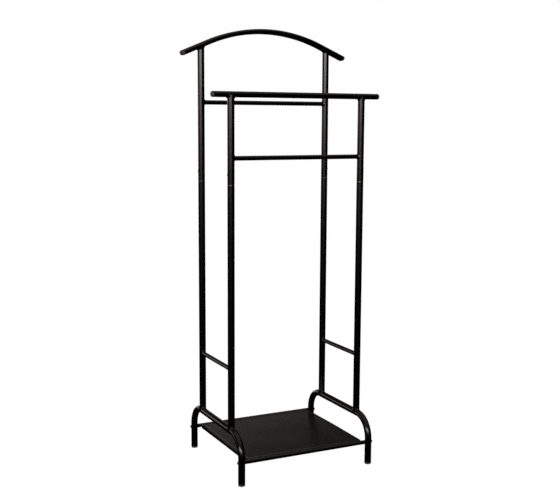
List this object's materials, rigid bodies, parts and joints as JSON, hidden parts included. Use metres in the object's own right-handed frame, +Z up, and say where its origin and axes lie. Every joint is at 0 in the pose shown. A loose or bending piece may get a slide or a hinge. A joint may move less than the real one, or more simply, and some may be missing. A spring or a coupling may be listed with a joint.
{
  "type": "valet stand",
  "caption": "Free-standing clothes valet of black steel tube, with a curved shoulder bar, straight bars for trousers and a mesh shoe shelf between bowed feet.",
  "frame": {"origin": "on the floor, in the middle between the four feet", "axes": "+Z up; -Y is the front, where the trouser bar is; +X to the right seen from the front"},
  "size_m": [0.456, 0.3208, 1.0882],
  "materials": {
    "frame_paint": "black powder coat, satin gloss",
    "shelf_mesh": "black powder coat on open metal mesh, satin",
    "cap_plastic": "black moulded plastic, fine matt texture",
    "screw_black": "black oxide, satin",
    "zinc_steel": "bright zinc plate"
  },
  "bodies": {
    "root": {"left_foot_bow": "frame_paint", "right_foot_bow": "frame_paint", "front_left_foot_cap": "cap_plastic", "front_right_foot_cap": "cap_plastic", "rear_left_foot_cap": "cap_plastic", "rear_right_foot_cap": "cap_plastic", "front_left_lower_upright": "frame_paint", "front_right_lower_upright": "frame_paint", "rear_left_lower_upright": "frame_paint", "rear_right_lower_upright": "frame_paint", "front_left_upper_upright": "frame_paint", "front_right_upper_upright": "frame_paint", "rear_left_upper_upright": "frame_paint", "rear_right_upper_upright": "frame_paint", "front_left_spigot": "zinc_steel", "front_right_spigot": "zinc_steel", "rear_left_spigot": "zinc_steel", "rear_right_spigot": "zinc_steel", "front_left_joint_screw": "screw_black", "front_right_joint_screw": "screw_black", "rear_left_joint_screw": "screw_black", "rear_right_joint_screw": "screw_black", "left_side_rung": "frame_paint", "right_side_rung": "frame_paint", "rear_crossbar": "frame_paint", "trouser_bar": "frame_paint", "front_bar": "frame_paint", "left_front_bar_cap": "cap_plastic", "right_front_bar_cap": "cap_plastic", "shoulder_arch": "frame_paint", "left_arch_cap": "cap_plastic", "right_arch_cap": "cap_plastic", "front_shelf_rail": "frame_paint", "rear_shelf_rail": "frame_paint", "front_left_rail_insert": "zinc_steel", "front_right_rail_insert": "zinc_steel", "rear_left_rail_insert": "zinc_steel", "rear_right_rail_insert": "zinc_steel", "front_left_shelf_bolt": "screw_black", "front_right_shelf_bolt": "screw_black", "rear_left_shelf_bolt": "screw_black", "rear_right_shelf_bolt": "screw_black", "shelf_mesh": "shelf_mesh"}
  },
  "joints": []
}
